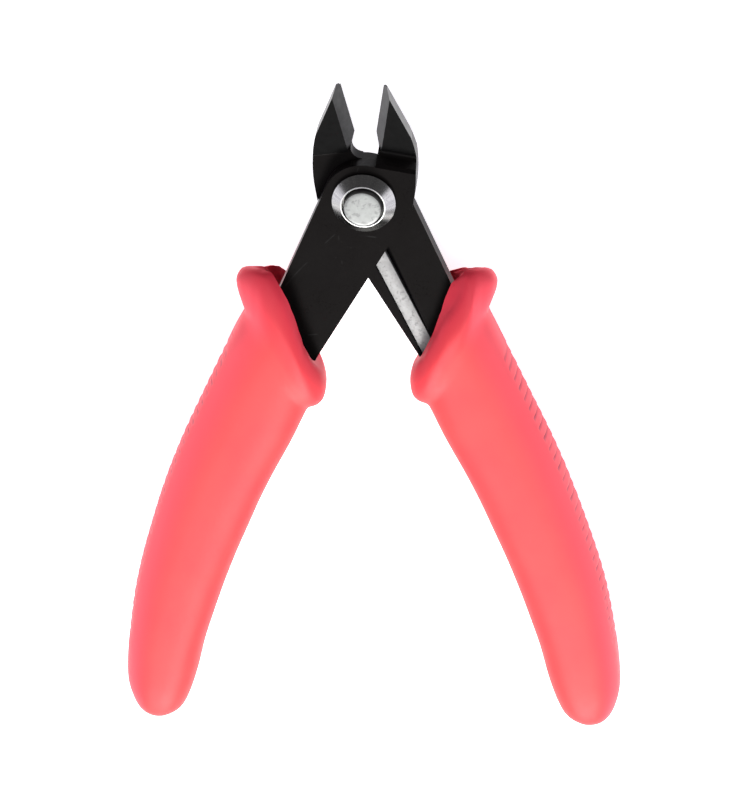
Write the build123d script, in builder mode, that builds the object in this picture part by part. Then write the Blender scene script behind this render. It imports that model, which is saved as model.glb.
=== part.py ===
"""Diagonal cutting pliers, 5-inch flush-cutting pattern: two lapped steel halves on one pivot.

Millimetres.  +Y runs from the pivot towards the jaws, +X to the right, +Z towards the bevelled side.
The origin lies on the pivot axis, at the flat back face of the pivot pin's head.

Both halves are drawn in the closed position, where the cutting edges meet on X = 0, and each is
then turned away from the middle by half of the opening angle.  In every outline below, X is
positive on the jaw's side of a half and negative on the handle's side of the same half.
"""

import os
from math import cos, radians, sin, tan

from build123d import *

os.makedirs("parts", exist_ok=True)

# ---------------------------------------------------------------- driving dimensions
half_opening = 9.25  # each half's turn from closed to open, degrees
plate_thickness = 2.5
lap_gap = 0.03  # running gap between the flat faces that slide on each other
hub_radius = 6.45
stop_gap = 0.05  # gap left at the open stop and round the other half's hub
edge_break = 0.18  # small chamfer round each stamped plate

# pivot
pin_radius = 3.0
running_clearance = 0.05
head_radius = 5.05
head_face_radius = 3.5
head_height = 1.6
collar_height = 1.65
collar_edge = 0.25  # straight foot below the collar's cone
collar_rim_radius = 3.55
collar_recess_radius = 3.35
collar_recess_depth = 0.95
pin_proud = 0.8  # how far the pin's end stands above the collar's rim
pin_end_radius = 2.92
pin_end_chamfer = 0.15

# jaws
jaw_pitch = 21.0  # the jaws lean towards the bevelled side
jaw_reach = 21.2  # pivot axis to tip
jaw_depth = 3.0  # thickness of a jaw measured along Z
tip_width = 0.6
edge_gap = 0.03  # each cutting edge stands this far off the middle when closed
edge_start = 10.5  # where the cutting edge ends and the throat begins
throat_half_width = 0.85
throat_shoulder = 8.6
web_round = 1.85  # hollow corner where the rear half's throat runs into its hub
web_end = -0.6
bend_front = 8.0  # the front of the jaw leaves the lap plane here
bend_back = 9.3  # the flush back of the jaw leaves the plate's back here
relief_width = 1.35  # width of the ground relief behind the cutting edge
relief_middle = 15.7
relief_half_length = 7.9
edge_land = 0.03  # flat left on the cutting edge
flank_start = (5.1, 13.4)  # below this point the jaw's outer side is an arc
flank_draft = 0.13
flank_chamfer = 0.65
bend_round = 0.9
flank_cut_half_length = 10.0
root_half_width = 7.72
jaw_blank_height = 12.0
stop_land_height = 0.8
stop_land_taper = 20.0

# handles
tang_lean = 13.55  # outer edge of a tang, from the handle's own -Y, degrees
tang_end = 60.0
grip_round = 0.42  # corner radius of a grip's section, as a share of its smaller side
grip_flat = 4.72  # the flat back of a grip, measured from the middle of its plate
grip_flat_middle = (20.0, -70.0)
grip_flat_width = 24.0
grip_flat_length = 46.0
mouth_half_height = 3.4
mouth_round = 0.8

# return spring
spring_width = 2.4
spring_top = -0.15  # measured from the lap plane
spring_thickness = 1.05
groove_depth = 1.25
toe_height = 0.85
toe_play_across = 0.8
toe_play_along = 0.9
toe_pocket_round = 0.5
spring_lean = 15.4
foot_radius = 0.8
foot_floor = 0.2  # steel left below the spring's foot
groove_play = 0.1
cut_over = 1.0  # how far a cut runs past the face it leaves by

# ---------------------------------------------------------------- worked out from them
lap_height = head_height + plate_thickness  # the plane where the two halves meet
jaw_slope = tan(radians(jaw_pitch))
jaw_square_depth = jaw_depth * cos(radians(jaw_pitch))  # the same thickness, square to the jaw
collar_base = lap_height + plate_thickness + lap_gap
collar_top = collar_base + collar_height
pin_top = collar_top + pin_proud
lap_plane = Plane((0, 0, lap_height))
front_frame = lap_plane.rotated((0, 0, -half_opening))
rear_frame = lap_plane.rotated((0, 0, half_opening))
hub_clear_radius = hub_radius + stop_gap
tang_normal = 180.0 - tang_lean  # direction of the tang's outer edge's normal
stop_angle = tang_lean + 2 * half_opening  # where the other tang's edge touches at the stop
spring_pivot_end = (1.62, -4.3)  # toe's middle, in the closed outline
spring_foot_distance = 32.4  # foot's middle, along the spring from the toe
toe_width = 1.6
toe_length = 1.2
spring_toe = Vector(-spring_pivot_end[0], spring_pivot_end[1]).rotate(Axis.Z, half_opening)
# a grip's sections from mouth to end: outer edge, inner edge, thickness
grip_sections = [
    ((-16.9, -15.5), (-2.3, -30.7), 10.2),
    ((-18.2, -17.6), (-1.1, -34.0), 11.4),
    ((-17.3, -20.3), (-1.2, -37.2), 10.8),
    ((-16.3, -23.4), (-3.0, -40.2), 9.8),
    ((-18.3, -31.8), (-4.2, -43.6), 9.6),
    ((-21.4, -43.7), (-5.7, -48.5), 9.6),
    ((-23.9, -54.5), (-8.1, -56.5), 9.6),
    ((-25.5, -65.0), (-10.4, -66.0), 9.6),
    ((-26.6, -78.0), (-12.8, -78.4), 9.6),
    ((-26.6, -90.0), (-14.2, -90.0), 9.5),
    ((-25.8, -97.3), (-14.9, -97.3), 9.3),
    ((-24.4, -101.6), (-16.6, -101.6), 7.6),
    ((-22.6, -103.6), (-18.7, -103.6), 4.6),
    ((-21.2, -104.3), (-20.1, -104.3), 1.6),
]
# front lines of the two jaws' side profiles, from the pivot outwards: (along, up)
front_profile = [(-4.0, plate_thickness), (hub_radius, plate_thickness), (7.0, 2.0), (bend_front, 0.0)]
rear_profile = [(-4.0, 0.0), (bend_front, 0.0)]


def polar(radius, angle):
    """Point at a radius and an angle in degrees."""
    return (radius * cos(radians(angle)), radius * sin(radians(angle)))


def on_tang_edge(y):
    """Point of the tang's straight outer edge at a height y; the edge is tangent to the hub."""
    normal_x, normal_y = polar(1, tang_normal)
    return ((hub_radius - normal_y * y) / normal_x, y)


def along_spring(distance, offset=0.0):
    """Point on the spring's middle line, measured from the toe, with a sideways offset."""
    lean = radians(spring_lean)
    x, y = spring_pivot_end
    return (
        x - distance * sin(lean) - offset * cos(lean),
        y - distance * cos(lean) + offset * sin(lean),
    )


def flip(side, *points):
    """Mirror outline points: side is 1 for the front half and -1 for the rear half."""
    mirrored = [(side * x, y) for x, y in points]
    return mirrored if len(mirrored) > 1 else mirrored[0]


def profile_plane(frame):
    """Plane through the middle of the tool: sketch X is along the jaws, sketch Y is up."""
    return Plane(origin=frame.origin, x_dir=frame.y_dir, z_dir=frame.x_dir)


# ---------------------------------------------------------------- outlines
def plate_outline(side):
    """Hub and tang of one stamped half, in the closed position."""
    hub_left = polar(hub_radius, tang_normal)
    hub_top = polar(hub_radius, 82)
    with BuildSketch() as outline:
        with BuildLine():
            ThreePointArc(
                *flip(side, hub_left, polar(hub_radius, 122), hub_top)
            )
            Polyline(
                *flip(side, hub_top, (7.3, hub_radius), (root_half_width, 2.0))
            )
            ThreePointArc(*flip(side, (root_half_width, 2.0), (7.05, -1.85), (5.52, -5.7)))
            Polyline(
                *flip(side, (5.52, -5.7), (-3.88, -31.0), (-8.1, -46.0), (-12.3, 1.2 - tang_end))
            )
            ThreePointArc(
                *flip(side, (-12.3, 1.2 - tang_end), (-16.4, -tang_end - 1.2), (-19.4, 2.5 - tang_end))
            )
            Polyline(
                *flip(side, (-19.4, 2.5 - tang_end), on_tang_edge(-46.0), hub_left)
            )
        make_face()
    return outline.sketch


def jaw_outline(side):
    """Jaw and root of one half: outer contour, cutting edge, throat and the hub's clearance."""
    stop_point = polar(hub_clear_radius, stop_angle)
    stop_x, stop_y = polar(1, stop_angle)
    root_low = (root_half_width, (hub_clear_radius - stop_x * root_half_width) / stop_y)
    throat_low = (throat_half_width, (hub_clear_radius**2 - throat_half_width**2) ** 0.5)
    with BuildSketch() as outline:
        with BuildLine():
            Polyline(*flip(side, stop_point, root_low, (root_half_width, 2.0)))
            TangentArc(*flip(side, (root_half_width, 2.0), flank_start), tangent=(0, 1))
            Polyline(
                *flip(
                    side,
                    flank_start,
                    (tip_width, jaw_reach),
                    (edge_gap, jaw_reach),
                    (edge_gap, edge_start),
                    (throat_half_width, throat_shoulder),
                    throat_low,
                )
            )
            ThreePointArc(*flip(side, throat_low, polar(hub_clear_radius, 55), stop_point))
        make_face()
    return outline.sketch


def jaw_blank(side, frame, front_shape):
    """One jaw with its root, cut to its side profile and ground on its inner and outer sides.

    front_shape lists the profile's front line, as (along the jaw, up), from the pivot outwards.
    """
    far = jaw_reach + 2.0
    front_far = (far, (far - bend_front) * jaw_slope)
    back_far = (far, (far - bend_back) * jaw_slope - plate_thickness)
    along = frame.y_dir + frame.z_dir * jaw_slope
    relief_plane = Plane(
        origin=frame.from_local_coords((0, relief_middle, (relief_middle - bend_front) * jaw_slope)),
        x_dir=frame.x_dir * side,
        z_dir=along * -side,
    )
    flank_x, flank_y = flank_start
    flank_dir = along * (jaw_reach - flank_y) - frame.x_dir * side * (flank_x - tip_width)
    outward = frame.x_dir * side * (jaw_reach - flank_y) + frame.y_dir * (flank_x - tip_width)
    flank_plane = Plane(
        origin=frame.from_local_coords((side * flank_x, flank_y, (flank_y - bend_front) * jaw_slope)),
        x_dir=outward,
        z_dir=flank_dir * -side,
    )
    with BuildPart() as blank:
        with BuildSketch(frame.offset(-plate_thickness - cut_over)):
            add(jaw_outline(side))
        extrude(amount=jaw_blank_height)
        with BuildSketch(profile_plane(frame)) as profile:
            with BuildLine():
                Polyline(
                    *front_shape,
                    front_far,
                    back_far,
                    (bend_back, -plate_thickness),
                    (-4.0, -plate_thickness),
                    close=True,
                )
            make_face()
            fillet(profile.vertices().sort_by_distance((bend_front, 0))[0], radius=bend_round)
        extrude(amount=root_half_width + 2.0, both=True, mode=Mode.INTERSECT)
        # ground relief that leaves the cutting edge at the flush back
        with BuildSketch(relief_plane):
            with BuildLine():
                Polyline(
                    (edge_gap, edge_land - jaw_square_depth),
                    (relief_width, 0.0),
                    (relief_width, 2.0),
                    (-2.0, 2.0),
                    (-2.0, edge_land - jaw_square_depth),
                    close=True,
                )
            make_face()
        extrude(amount=relief_half_length, both=True, mode=Mode.SUBTRACT)
        # bright flank on the jaw's outer side: a slight draft and a broad back chamfer
        with BuildSketch(flank_plane):
            with BuildLine():
                Polyline(
                    (-flank_draft, 1.0),
                    (-flank_draft, 0.0),
                    (0.0, flank_chamfer - jaw_square_depth),
                    (-flank_chamfer, -jaw_square_depth),
                    (-flank_chamfer, -2 * jaw_square_depth),
                    (4.0, -2 * jaw_square_depth),
                    (4.0, 1.0),
                    close=True,
                )
            make_face()
        extrude(amount=flank_cut_half_length, both=True, mode=Mode.SUBTRACT)
    return blank.part


def mouth_outline(side):
    """Hollow inside the collar, wider than the tang, where the steel enters the grip."""
    with BuildSketch() as outline:
        with BuildLine():
            Polyline(
                *flip(side, (-16.6, -17.8), (-14.0, -12.0), (2.0, -24.0), (-3.2, -32.8),
                      (-6.4, -31.6), (-10.4, -26.6), (-14.4, -21.4)),
                close=True,
            )
        make_face()
        fillet(outline.vertices(), radius=mouth_round)
    return outline.sketch


def strip_outline(start, end, half_width):
    """Straight strip on the spring's line, in the rear half's closed outline."""
    corners = [(start, -half_width), (start, half_width), (end, half_width), (end, -half_width)]
    with BuildSketch() as outline:
        with BuildLine():
            Polyline(*flip(-1, *[along_spring(*corner) for corner in corners]), close=True)
        make_face()
    return outline.sketch


def groove_outline():
    """Groove for the spring: snug at the foot, and wider towards the toe, where the strip bends."""
    side_gap = spring_width / 2 + groove_play
    foot_end = spring_foot_distance + spring_width / 2 + groove_play
    corners = [
        (-1.2, -side_gap),
        (-1.2, side_gap + 1.6),
        (6.6, side_gap + 0.85),
        (foot_end - 8.0, side_gap),
        (foot_end, side_gap),
        (foot_end, -side_gap),
    ]
    with BuildSketch() as outline:
        with BuildLine():
            Polyline(*flip(-1, *[along_spring(*corner) for corner in corners]), close=True)
        make_face()
    return outline.sketch


def throat_web_outline():
    """Hollow corner between the rear half's throat and its hub."""
    centre_x = throat_half_width - web_round
    centre_y = throat_shoulder - 0.3
    web_low = centre_y - (web_round**2 - (web_end - centre_x) ** 2) ** 0.5
    half_way = web_round * cos(radians(45))
    hub_side = hub_radius - 0.5
    with BuildSketch() as outline:
        with BuildLine():
            ThreePointArc(
                *flip(
                    -1,
                    (throat_half_width, centre_y),
                    (centre_x + half_way, centre_y - half_way),
                    (web_end, web_low),
                )
            )
            Polyline(
                *flip(
                    -1,
                    (web_end, web_low),
                    (web_end, hub_side),
                    (throat_half_width + 0.5, hub_side),
                    (throat_half_width + 0.5, centre_y),
                    (throat_half_width, centre_y),
                )
            )
        make_face()
    return outline.sketch


def stop_land_outline(side):
    """Land at the jaw's root: outside the other half's hub and above its tang when fully open."""
    stop_point = polar(hub_clear_radius, stop_angle)
    stop_x, stop_y = polar(1, stop_angle)
    outer_x = root_half_width - 0.02
    root_low = (outer_x, (hub_clear_radius - stop_x * outer_x) / stop_y)
    with BuildSketch() as outline:
        with BuildLine():
            Polyline(
                *flip(side, stop_point, root_low, (outer_x, 2.0), (7.0, 6.5), (6.1, 10.0),
                      (4.6, 10.0), (4.6, 8.0), (4.9, 4.2)),
            )
            ThreePointArc(*flip(side, (4.9, 4.2), polar(hub_clear_radius + 0.1, 36), stop_point))
        make_face()
    return outline.sketch


def grip(side, frame, plate_middle, plate_low):
    """One moulded grip: a lofted sleeve with a flared mouth and a blind pocket for the tang."""
    with BuildPart() as moulded:
        for outer, inner, thickness in grip_sections:
            outer_point = frame.from_local_coords((side * outer[0], outer[1], plate_middle))
            inner_point = frame.from_local_coords((side * inner[0], inner[1], plate_middle))
            across = outer_point - inner_point
            section = Plane(
                origin=(outer_point + inner_point) / 2,
                x_dir=across,
                z_dir=across.cross(frame.z_dir),
            )
            with BuildSketch(section):
                RectangleRounded(
                    across.length,
                    thickness,
                    grip_round * min(across.length, thickness),
                )
        loft()
        # flat back, on which the grip lies
        with BuildSketch(frame.offset(plate_middle - grip_flat)):
            with Locations((-side * grip_flat_middle[0], grip_flat_middle[1])):
                Rectangle(grip_flat_width, grip_flat_length)
        extrude(amount=-2 * cut_over, mode=Mode.SUBTRACT)
        with BuildSketch(frame.offset(plate_middle - mouth_half_height)):
            add(mouth_outline(side))
        extrude(amount=2 * mouth_half_height, mode=Mode.SUBTRACT)
        with BuildSketch(frame.offset(plate_low)):
            add(plate_outline(side))
        extrude(amount=plate_thickness, mode=Mode.SUBTRACT)
    return moulded.part


# ---------------------------------------------------------------- front half: right jaw, left tang
with BuildPart() as front_half:
    with BuildSketch(front_frame.offset(lap_gap)):
        add(plate_outline(1))
    extrude(amount=plate_thickness - lap_gap - edge_break)
    with BuildSketch(front_frame.offset(plate_thickness - edge_break)):
        add(plate_outline(1))
    extrude(amount=edge_break, taper=45)
    add(jaw_blank(1, front_frame, front_profile))
    with BuildSketch(front_frame.offset(-cut_over)):
        Circle(pin_radius + running_clearance)
    extrude(amount=plate_thickness + 2 * cut_over, mode=Mode.SUBTRACT)
    # pocket in the lap face for the return spring's upturned toe
    with BuildSketch(lap_plane.offset(lap_gap)):
        with Locations(spring_toe):
            RectangleRounded(
                toe_width + toe_play_across, toe_length + toe_play_along, toe_pocket_round
            )
    extrude(amount=toe_height + 0.3, mode=Mode.SUBTRACT)
front_half.part.label = "front_half"
export_step(front_half.part, "parts/front_half.step")

# ---------------------------------------------------------------- rear half: left jaw, right tang
with BuildPart() as rear_half:
    with BuildSketch(rear_frame):
        add(plate_outline(-1))
    extrude(amount=edge_break - plate_thickness)
    with BuildSketch(rear_frame.offset(edge_break - plate_thickness)):
        add(plate_outline(-1))
    extrude(amount=-edge_break, taper=45)
    add(jaw_blank(-1, rear_frame, rear_profile))
    # raised land beside the hub: the other half's tang stops against its lower face
    with BuildSketch(rear_frame):
        add(stop_land_outline(-1))
    extrude(amount=stop_land_height, taper=stop_land_taper)
    with BuildSketch(rear_frame):
        add(throat_web_outline())
    extrude(amount=-plate_thickness)
    with BuildSketch(rear_frame.offset(-plate_thickness - cut_over)):
        Circle(pin_radius)
    extrude(amount=plate_thickness + 2 * cut_over, mode=Mode.SUBTRACT)
    # groove that the return spring lies in
    with BuildSketch(rear_frame.offset(-groove_depth)):
        add(groove_outline())
    extrude(amount=groove_depth, mode=Mode.SUBTRACT)
    with BuildSketch(rear_frame.offset(foot_floor - plate_thickness)):
        with Locations(flip(-1, along_spring(spring_foot_distance))):
            Circle(foot_radius)
    extrude(amount=plate_thickness, mode=Mode.SUBTRACT)
rear_half.part.label = "rear_half"
export_step(rear_half.part, "parts/rear_half.step")

# ---------------------------------------------------------------- pivot
with BuildPart() as pivot_pin:
    with BuildSketch(Plane.XZ):
        with BuildLine():
            Polyline(
                (0, 0),
                (head_face_radius, 0),
                (head_radius, head_height - collar_edge),
                (head_radius, head_height),
                (pin_radius, head_height),
                (pin_radius, collar_top - collar_recess_depth),
                (pin_end_radius, collar_top - collar_recess_depth),
                (pin_end_radius, pin_top - pin_end_chamfer),
                (pin_end_radius - pin_end_chamfer, pin_top),
                (0, pin_top),
                close=True,
            )
        make_face()
    revolve(axis=Axis.Z)
pivot_pin.part.label = "pivot_pin"
export_step(pivot_pin.part, "parts/pivot_pin.step")

with BuildPart() as pivot_collar:
    with BuildSketch(Plane.XZ):
        with BuildLine():
            Polyline(
                (pin_radius, collar_base),
                (head_radius, collar_base),
                (head_radius, collar_base + collar_edge),
                (collar_rim_radius, collar_top),
                (collar_recess_radius, collar_top),
                (collar_recess_radius, collar_top - collar_recess_depth),
                (pin_radius, collar_top - collar_recess_depth),
                close=True,
            )
        make_face()
    revolve(axis=Axis.Z)
pivot_collar.part.label = "pivot_collar"
export_step(pivot_collar.part, "parts/pivot_collar.step")

# ---------------------------------------------------------------- return spring
with BuildPart() as return_spring:
    with BuildSketch(rear_frame.offset(spring_top - spring_thickness)):
        add(strip_outline(-toe_length / 2, spring_foot_distance + spring_width / 2, spring_width / 2))
    extrude(amount=spring_thickness)
    with BuildSketch(rear_frame.offset(spring_top)):
        add(strip_outline(-toe_length / 2, toe_length / 2, toe_width / 2))
    extrude(amount=toe_height - spring_top)
    with BuildSketch(rear_frame.offset(foot_floor - plate_thickness)):
        with Locations(flip(-1, along_spring(spring_foot_distance))):
            Circle(foot_radius)
    extrude(amount=plate_thickness - foot_floor + spring_top - spring_thickness)
return_spring.part.label = "return_spring"
export_step(return_spring.part, "parts/return_spring.step")

# ---------------------------------------------------------------- grips
with BuildPart() as left_grip:
    add(grip(1, front_frame, plate_thickness / 2, lap_gap))
left_grip.part.label = "left_grip"
export_step(left_grip.part, "parts/left_grip.step")

with BuildPart() as right_grip:
    add(grip(-1, rear_frame, -plate_thickness / 2, -plate_thickness))
right_grip.part.label = "right_grip"
export_step(right_grip.part, "parts/right_grip.step")
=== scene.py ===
import logging
import math
from dataclasses import dataclass, field
from enum import Enum
from typing import Sequence

import bmesh
import bpy
from mathutils import Matrix, Vector


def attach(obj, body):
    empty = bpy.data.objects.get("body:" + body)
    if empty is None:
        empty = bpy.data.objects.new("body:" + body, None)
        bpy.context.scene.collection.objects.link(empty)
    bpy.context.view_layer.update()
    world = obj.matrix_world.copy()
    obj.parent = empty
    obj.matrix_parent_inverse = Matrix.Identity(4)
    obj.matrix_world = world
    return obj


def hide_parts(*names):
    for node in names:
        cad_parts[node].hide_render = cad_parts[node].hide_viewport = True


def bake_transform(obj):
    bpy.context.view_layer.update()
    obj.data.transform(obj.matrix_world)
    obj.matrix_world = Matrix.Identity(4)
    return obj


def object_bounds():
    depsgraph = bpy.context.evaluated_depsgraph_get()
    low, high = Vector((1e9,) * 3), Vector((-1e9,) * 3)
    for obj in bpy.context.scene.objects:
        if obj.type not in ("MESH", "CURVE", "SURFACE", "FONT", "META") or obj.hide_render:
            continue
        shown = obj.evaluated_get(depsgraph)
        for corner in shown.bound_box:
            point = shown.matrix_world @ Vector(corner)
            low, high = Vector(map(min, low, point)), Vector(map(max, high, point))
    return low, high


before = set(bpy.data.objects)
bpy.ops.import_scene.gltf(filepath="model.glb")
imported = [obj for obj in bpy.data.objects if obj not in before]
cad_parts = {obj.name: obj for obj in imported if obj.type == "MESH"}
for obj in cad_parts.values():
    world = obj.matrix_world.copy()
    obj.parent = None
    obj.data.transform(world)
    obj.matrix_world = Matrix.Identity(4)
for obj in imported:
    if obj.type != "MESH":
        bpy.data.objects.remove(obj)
CAD_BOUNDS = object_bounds()

MM = 0.001
LOG = logging.getLogger("pliers")
Point = tuple[float, float]
Colour = tuple[float, float, float]


# ---------------------------------------------------------------- placing


class Side(Enum):
    """The two halves of the pliers: the sign of the x side the jaw lies on."""

    FRONT = 1
    REAR = -1


@dataclass(frozen=True)
class HalfFrame:
    """The frame of one half, drawn closed and turned to where it rests."""

    side: Side
    opening: float = 9.25
    lap_height: float = 4.1

    def turn(self) -> float:
        """The rest angle of this half about the pivot, in radians."""
        return -self.side.value * math.radians(self.opening)

    def point(self, x: float, y: float, z: float) -> Vector:
        """A point of the closed half in the row frame.

        Args:
            x: distance across, positive on the jaw's side, in mm.
            y: distance along, positive towards the jaws, in mm.
            z: height above the lap plane, in mm.

        Returns:
            The point in metres.
        """
        turned = Matrix.Rotation(self.turn(), 3, "Z") @ Vector((self.side.value * x, y, 0.0))
        return Vector((turned.x, turned.y, self.lap_height + z)) * MM

    def direction(self, x: float, y: float, z: float) -> Vector:
        """A unit direction of the closed half, turned to the row frame."""
        turned = Matrix.Rotation(self.turn(), 3, "Z") @ Vector((self.side.value * x, y, z))
        return turned.normalized()


# ---------------------------------------------------------------- mesh moves


class Bench:
    """The edit-mode moves that the new pieces are made with."""

    @staticmethod
    def clear() -> None:
        """Leaves nothing selected, in object mode."""
        if bpy.context.mode != "OBJECT":
            bpy.ops.object.mode_set(mode="OBJECT")
        bpy.ops.object.select_all(action="DESELECT")

    @staticmethod
    def start_ring(name: str, points: Sequence[Vector]) -> bpy.types.Object:
        """Adds a ring and lays it along points.

        Args:
            name: name of the piece.
            points: where the ring's corners lie, in metres.

        Returns:
            The new object, in edit mode, with the ring selected.
        """
        Bench.clear()
        bpy.ops.mesh.primitive_circle_add(vertices=len(points), radius=MM, fill_type="NOTHING")
        piece = bpy.context.object
        piece.name = name
        piece.data.name = name
        bpy.ops.object.mode_set(mode="EDIT")
        bpy.ops.mesh.select_all(action="SELECT")
        Bench.lay(piece, list(range(len(points))), points)
        return piece

    @staticmethod
    def lay(piece: bpy.types.Object, ring: Sequence[int], points: Sequence[Vector]) -> None:
        """Moves the corners numbered in ring to points."""
        mesh = bmesh.from_edit_mesh(piece.data)
        mesh.verts.ensure_lookup_table()
        for index, point in zip(ring, points):
            mesh.verts[index].co = point
        bmesh.update_edit_mesh(piece.data)

    @staticmethod
    def extrude_ring(
        piece: bpy.types.Object, ring: Sequence[int], points: Sequence[Vector]
    ) -> list[int]:
        """Extrudes the selected ring and lays the new one along points.

        Args:
            piece: the object in edit mode.
            ring: numbers of the selected ring's corners, in order.
            points: where the new ring's corners lie.

        Returns:
            The numbers of the new ring's corners, in the same order.
        """
        bpy.ops.mesh.extrude_edges_move()
        mesh = bmesh.from_edit_mesh(piece.data)
        mesh.verts.index_update()
        mesh.verts.ensure_lookup_table()
        grown = []
        for index in ring:
            corner = mesh.verts[index]
            ahead = [e.other_vert(corner) for e in corner.link_edges]
            grown.append(next(v.index for v in ahead if v.select))
        Bench.lay(piece, grown, points)
        return grown

    @staticmethod
    def close_end(ring_centre: Vector) -> None:
        """Closes the selected ring with a pole.

        Args:
            ring_centre: where the pole lies, in metres.
        """
        bpy.ops.mesh.extrude_edges_move()
        bpy.ops.mesh.merge(type="CENTER")
        mesh = bmesh.from_edit_mesh(bpy.context.object.data)
        for corner in mesh.verts:
            if corner.select:
                corner.co = ring_centre
        bmesh.update_edit_mesh(bpy.context.object.data)

    @staticmethod
    def select_ring(piece: bpy.types.Object, ring: Sequence[int], keep: bool = False) -> None:
        """Selects the ring of corners numbered in ring.

        Args:
            piece: the object in edit mode.
            ring: numbers of the ring's corners.
            keep: whether what is selected already stays selected.
        """
        if not keep:
            bpy.ops.mesh.select_all(action="DESELECT")
        mesh = bmesh.from_edit_mesh(piece.data)
        mesh.verts.ensure_lookup_table()
        for index in ring:
            mesh.verts[index].select = True
        mesh.select_flush(True)
        bmesh.update_edit_mesh(piece.data)

    @staticmethod
    def skin(
        name: str, rings: Sequence[Sequence[Vector]]
    ) -> tuple[bpy.types.Object, list[int]]:
        """An open skin drawn over rings of corners.

        Args:
            name: name of the piece.
            rings: the rings from one end to the other.

        Returns:
            The object, in edit mode with its last ring selected, and the first ring's numbers.
        """
        piece = Bench.start_ring(name, rings[0])
        first = list(range(len(rings[0])))
        ring = first
        for points in rings[1:]:
            ring = Bench.extrude_ring(piece, ring, points)
        return piece, first

    @staticmethod
    def turn_outwards() -> None:
        """Turns the faces of the piece being edited outwards and leaves edit mode."""
        bpy.ops.mesh.select_all(action="SELECT")
        bpy.ops.mesh.normals_make_consistent(inside=False)
        bpy.ops.object.mode_set(mode="OBJECT")

    @staticmethod
    def tube(name: str, rings: Sequence[Sequence[Vector]]) -> bpy.types.Object:
        """A closed skin drawn over rings of corners, with a pole at each end.

        Args:
            name: name of the piece.
            rings: the rings from one end to the other.

        Returns:
            The object, in object mode, with its faces turned outwards.
        """
        piece, first = Bench.skin(name, rings)
        Bench.close_end(sum(rings[-1], Vector()) / len(rings[-1]))
        Bench.select_ring(piece, first)
        Bench.close_end(sum(rings[0], Vector()) / len(rings[0]))
        Bench.turn_outwards()
        return piece

    @staticmethod
    def finish(piece: bpy.types.Object, smooth_angle: float) -> None:
        """Smooths a piece's shading.

        Args:
            piece: the object, in object mode.
            smooth_angle: the sharpest turn between faces that stays smooth, in degrees.
        """
        Bench.clear()
        piece.select_set(True)
        bpy.context.view_layer.objects.active = piece
        bpy.ops.object.shade_smooth_by_angle(angle=math.radians(smooth_angle))
        Bench.clear()


# ---------------------------------------------------------------- node groups


class Nodes:
    """A small hand for wiring one node tree."""

    def __init__(self, tree: bpy.types.NodeTree) -> None:
        """Takes the tree to wire."""
        self.tree = tree

    def add(self, kind: str, **settings: object) -> bpy.types.Node:
        """Adds a node and sets its named properties."""
        node = self.tree.nodes.new(kind)
        for name, value in settings.items():
            setattr(node, name, value)
        return node

    def join(self, source: bpy.types.NodeSocket, target: bpy.types.NodeSocket) -> None:
        """Links two sockets."""
        self.tree.links.new(source, target)

    def feed(self, target: bpy.types.NodeSocket, value: object) -> None:
        """Puts a number or vector on a socket, or links another socket to it."""
        if isinstance(value, bpy.types.NodeSocket):
            self.join(value, target)
        else:
            target.default_value = value

    def fill(self, node: bpy.types.Node, **values: object) -> bpy.types.Node:
        """Feeds a node's named inputs, underscores standing for spaces."""
        for name, value in values.items():
            self.feed(node.inputs[name.replace("_", " ")], value)
        return node

    def math(self, operation: str, *values: object, clamp: bool = False) -> bpy.types.NodeSocket:
        """A Math node's result for up to three values."""
        node = self.add("ShaderNodeMath", operation=operation, use_clamp=clamp)
        for target, value in zip(node.inputs, values):
            self.feed(target, value)
        return node.outputs[0]

    def vector(
        self, operation: str, *values: object, result: str = "Vector", **named: object
    ) -> bpy.types.NodeSocket:
        """A Vector Math node's result for its values in order and by name."""
        node = self.add("ShaderNodeVectorMath", operation=operation)
        for target, value in zip(node.inputs, values):
            self.feed(target, value)
        return self.fill(node, **named).outputs[result]

    def apart(self, vector: bpy.types.NodeSocket) -> bpy.types.NodeOutputs:
        """The X, Y and Z of a vector."""
        return self.fill(self.add("ShaderNodeSeparateXYZ"), Vector=vector).outputs

    def together(self, **parts: object) -> bpy.types.NodeSocket:
        """A vector of the parts X, Y and Z."""
        return self.fill(self.add("ShaderNodeCombineXYZ"), **parts).outputs["Vector"]

    def ramp(
        self, value: object, low: object, high: object, start: object = 0.0, end: object = 1.0
    ) -> bpy.types.NodeSocket:
        """A smooth step of value from low to high, put out between start and end."""
        node = self.add("ShaderNodeMapRange", interpolation_type="SMOOTHSTEP")
        self.fill(node, Value=value, From_Min=low, From_Max=high, To_Min=start, To_Max=end)
        return node.outputs["Result"]

    def mix(self, share: object, first: object, second: object) -> bpy.types.NodeSocket:
        """A blend of two colours."""
        node = self.add("ShaderNodeMix", data_type="RGBA")
        self.feed(node.inputs["Factor"], share)
        for name, value in (("A", first), ("B", second)):
            sockets = [s for s in node.inputs if s.name == name and s.type == "RGBA"]
            self.feed(sockets[0], (*value, 1.0) if isinstance(value, tuple) else value)
        return [s for s in node.outputs if s.type == "RGBA"][0]

    def noise(
        self, place: bpy.types.NodeSocket, scale: object, detail: float, rough: float = 0.5
    ) -> bpy.types.NodeSocket:
        """A noise texture's value at place."""
        node = self.add("ShaderNodeTexNoise")
        self.fill(node, Vector=place, Scale=scale, Detail=detail, Roughness=rough)
        return node.outputs["Fac"]

    def group(self, group: bpy.types.NodeTree, **values: object) -> bpy.types.Node:
        """Places a node group and feeds its named inputs."""
        return self.fill(self.add("ShaderNodeGroup", node_tree=group), **values)


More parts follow.
